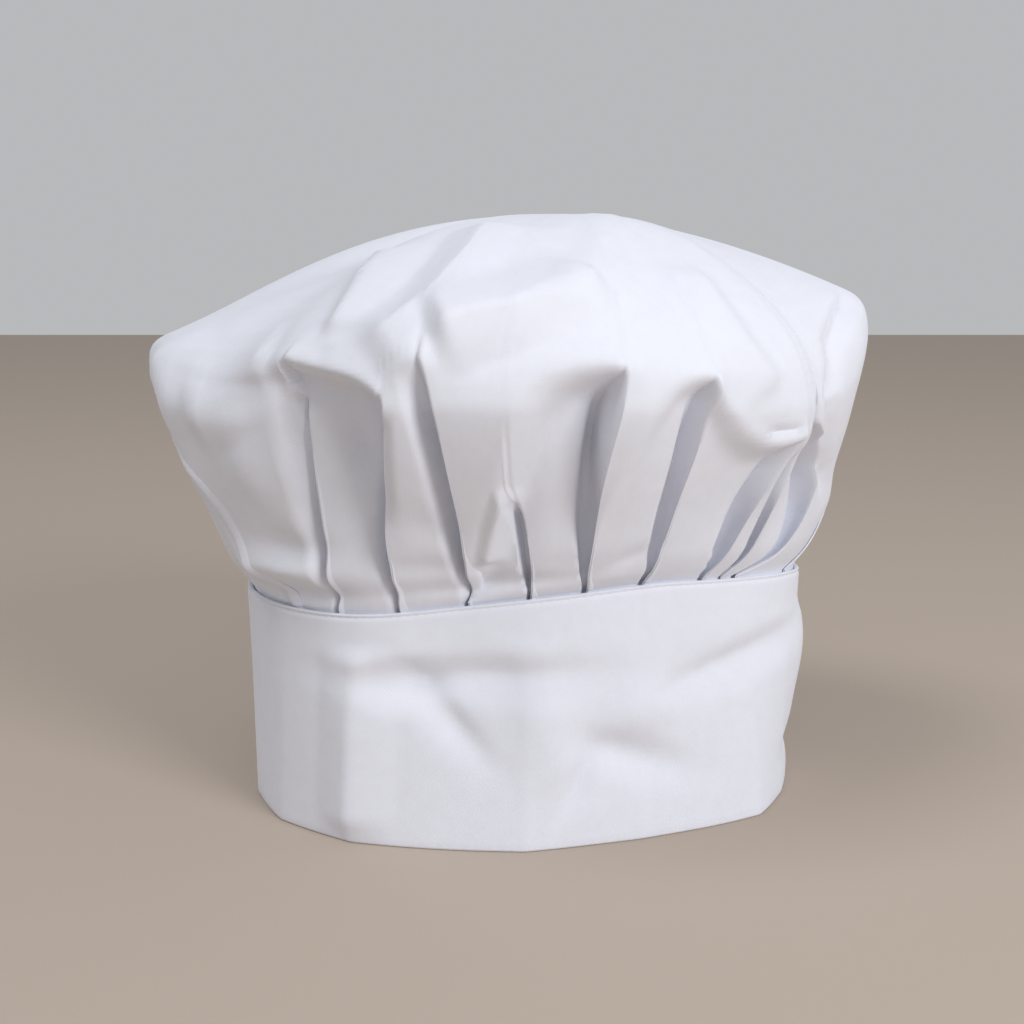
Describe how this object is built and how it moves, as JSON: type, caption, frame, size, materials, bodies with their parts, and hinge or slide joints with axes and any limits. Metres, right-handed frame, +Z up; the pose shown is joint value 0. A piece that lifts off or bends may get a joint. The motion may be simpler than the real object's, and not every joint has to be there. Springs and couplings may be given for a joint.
{
  "type": "chef hat",
  "caption": "Floppy white cloth chef hat: a puffed round crown knife-pleated all round into a tall folded headband that it stands on, hollow and open below for the head.",
  "frame": {"origin": "middle of the hat's box in plan, on the surface that it stands on", "axes": "+X to the right seen from the front, +Y to the back, +Z up"},
  "size_m": [0.268, 0.2306, 0.2139],
  "materials": {
    "crown_cloth": "matt white plain-woven poly-cotton",
    "band_cloth": "matt white plain-woven poly-cotton, doubled, with a stitched top edge"
  },
  "bodies": {
    "root": {"band": "band_cloth", "crown": "crown_cloth"}
  },
  "joints": []
}
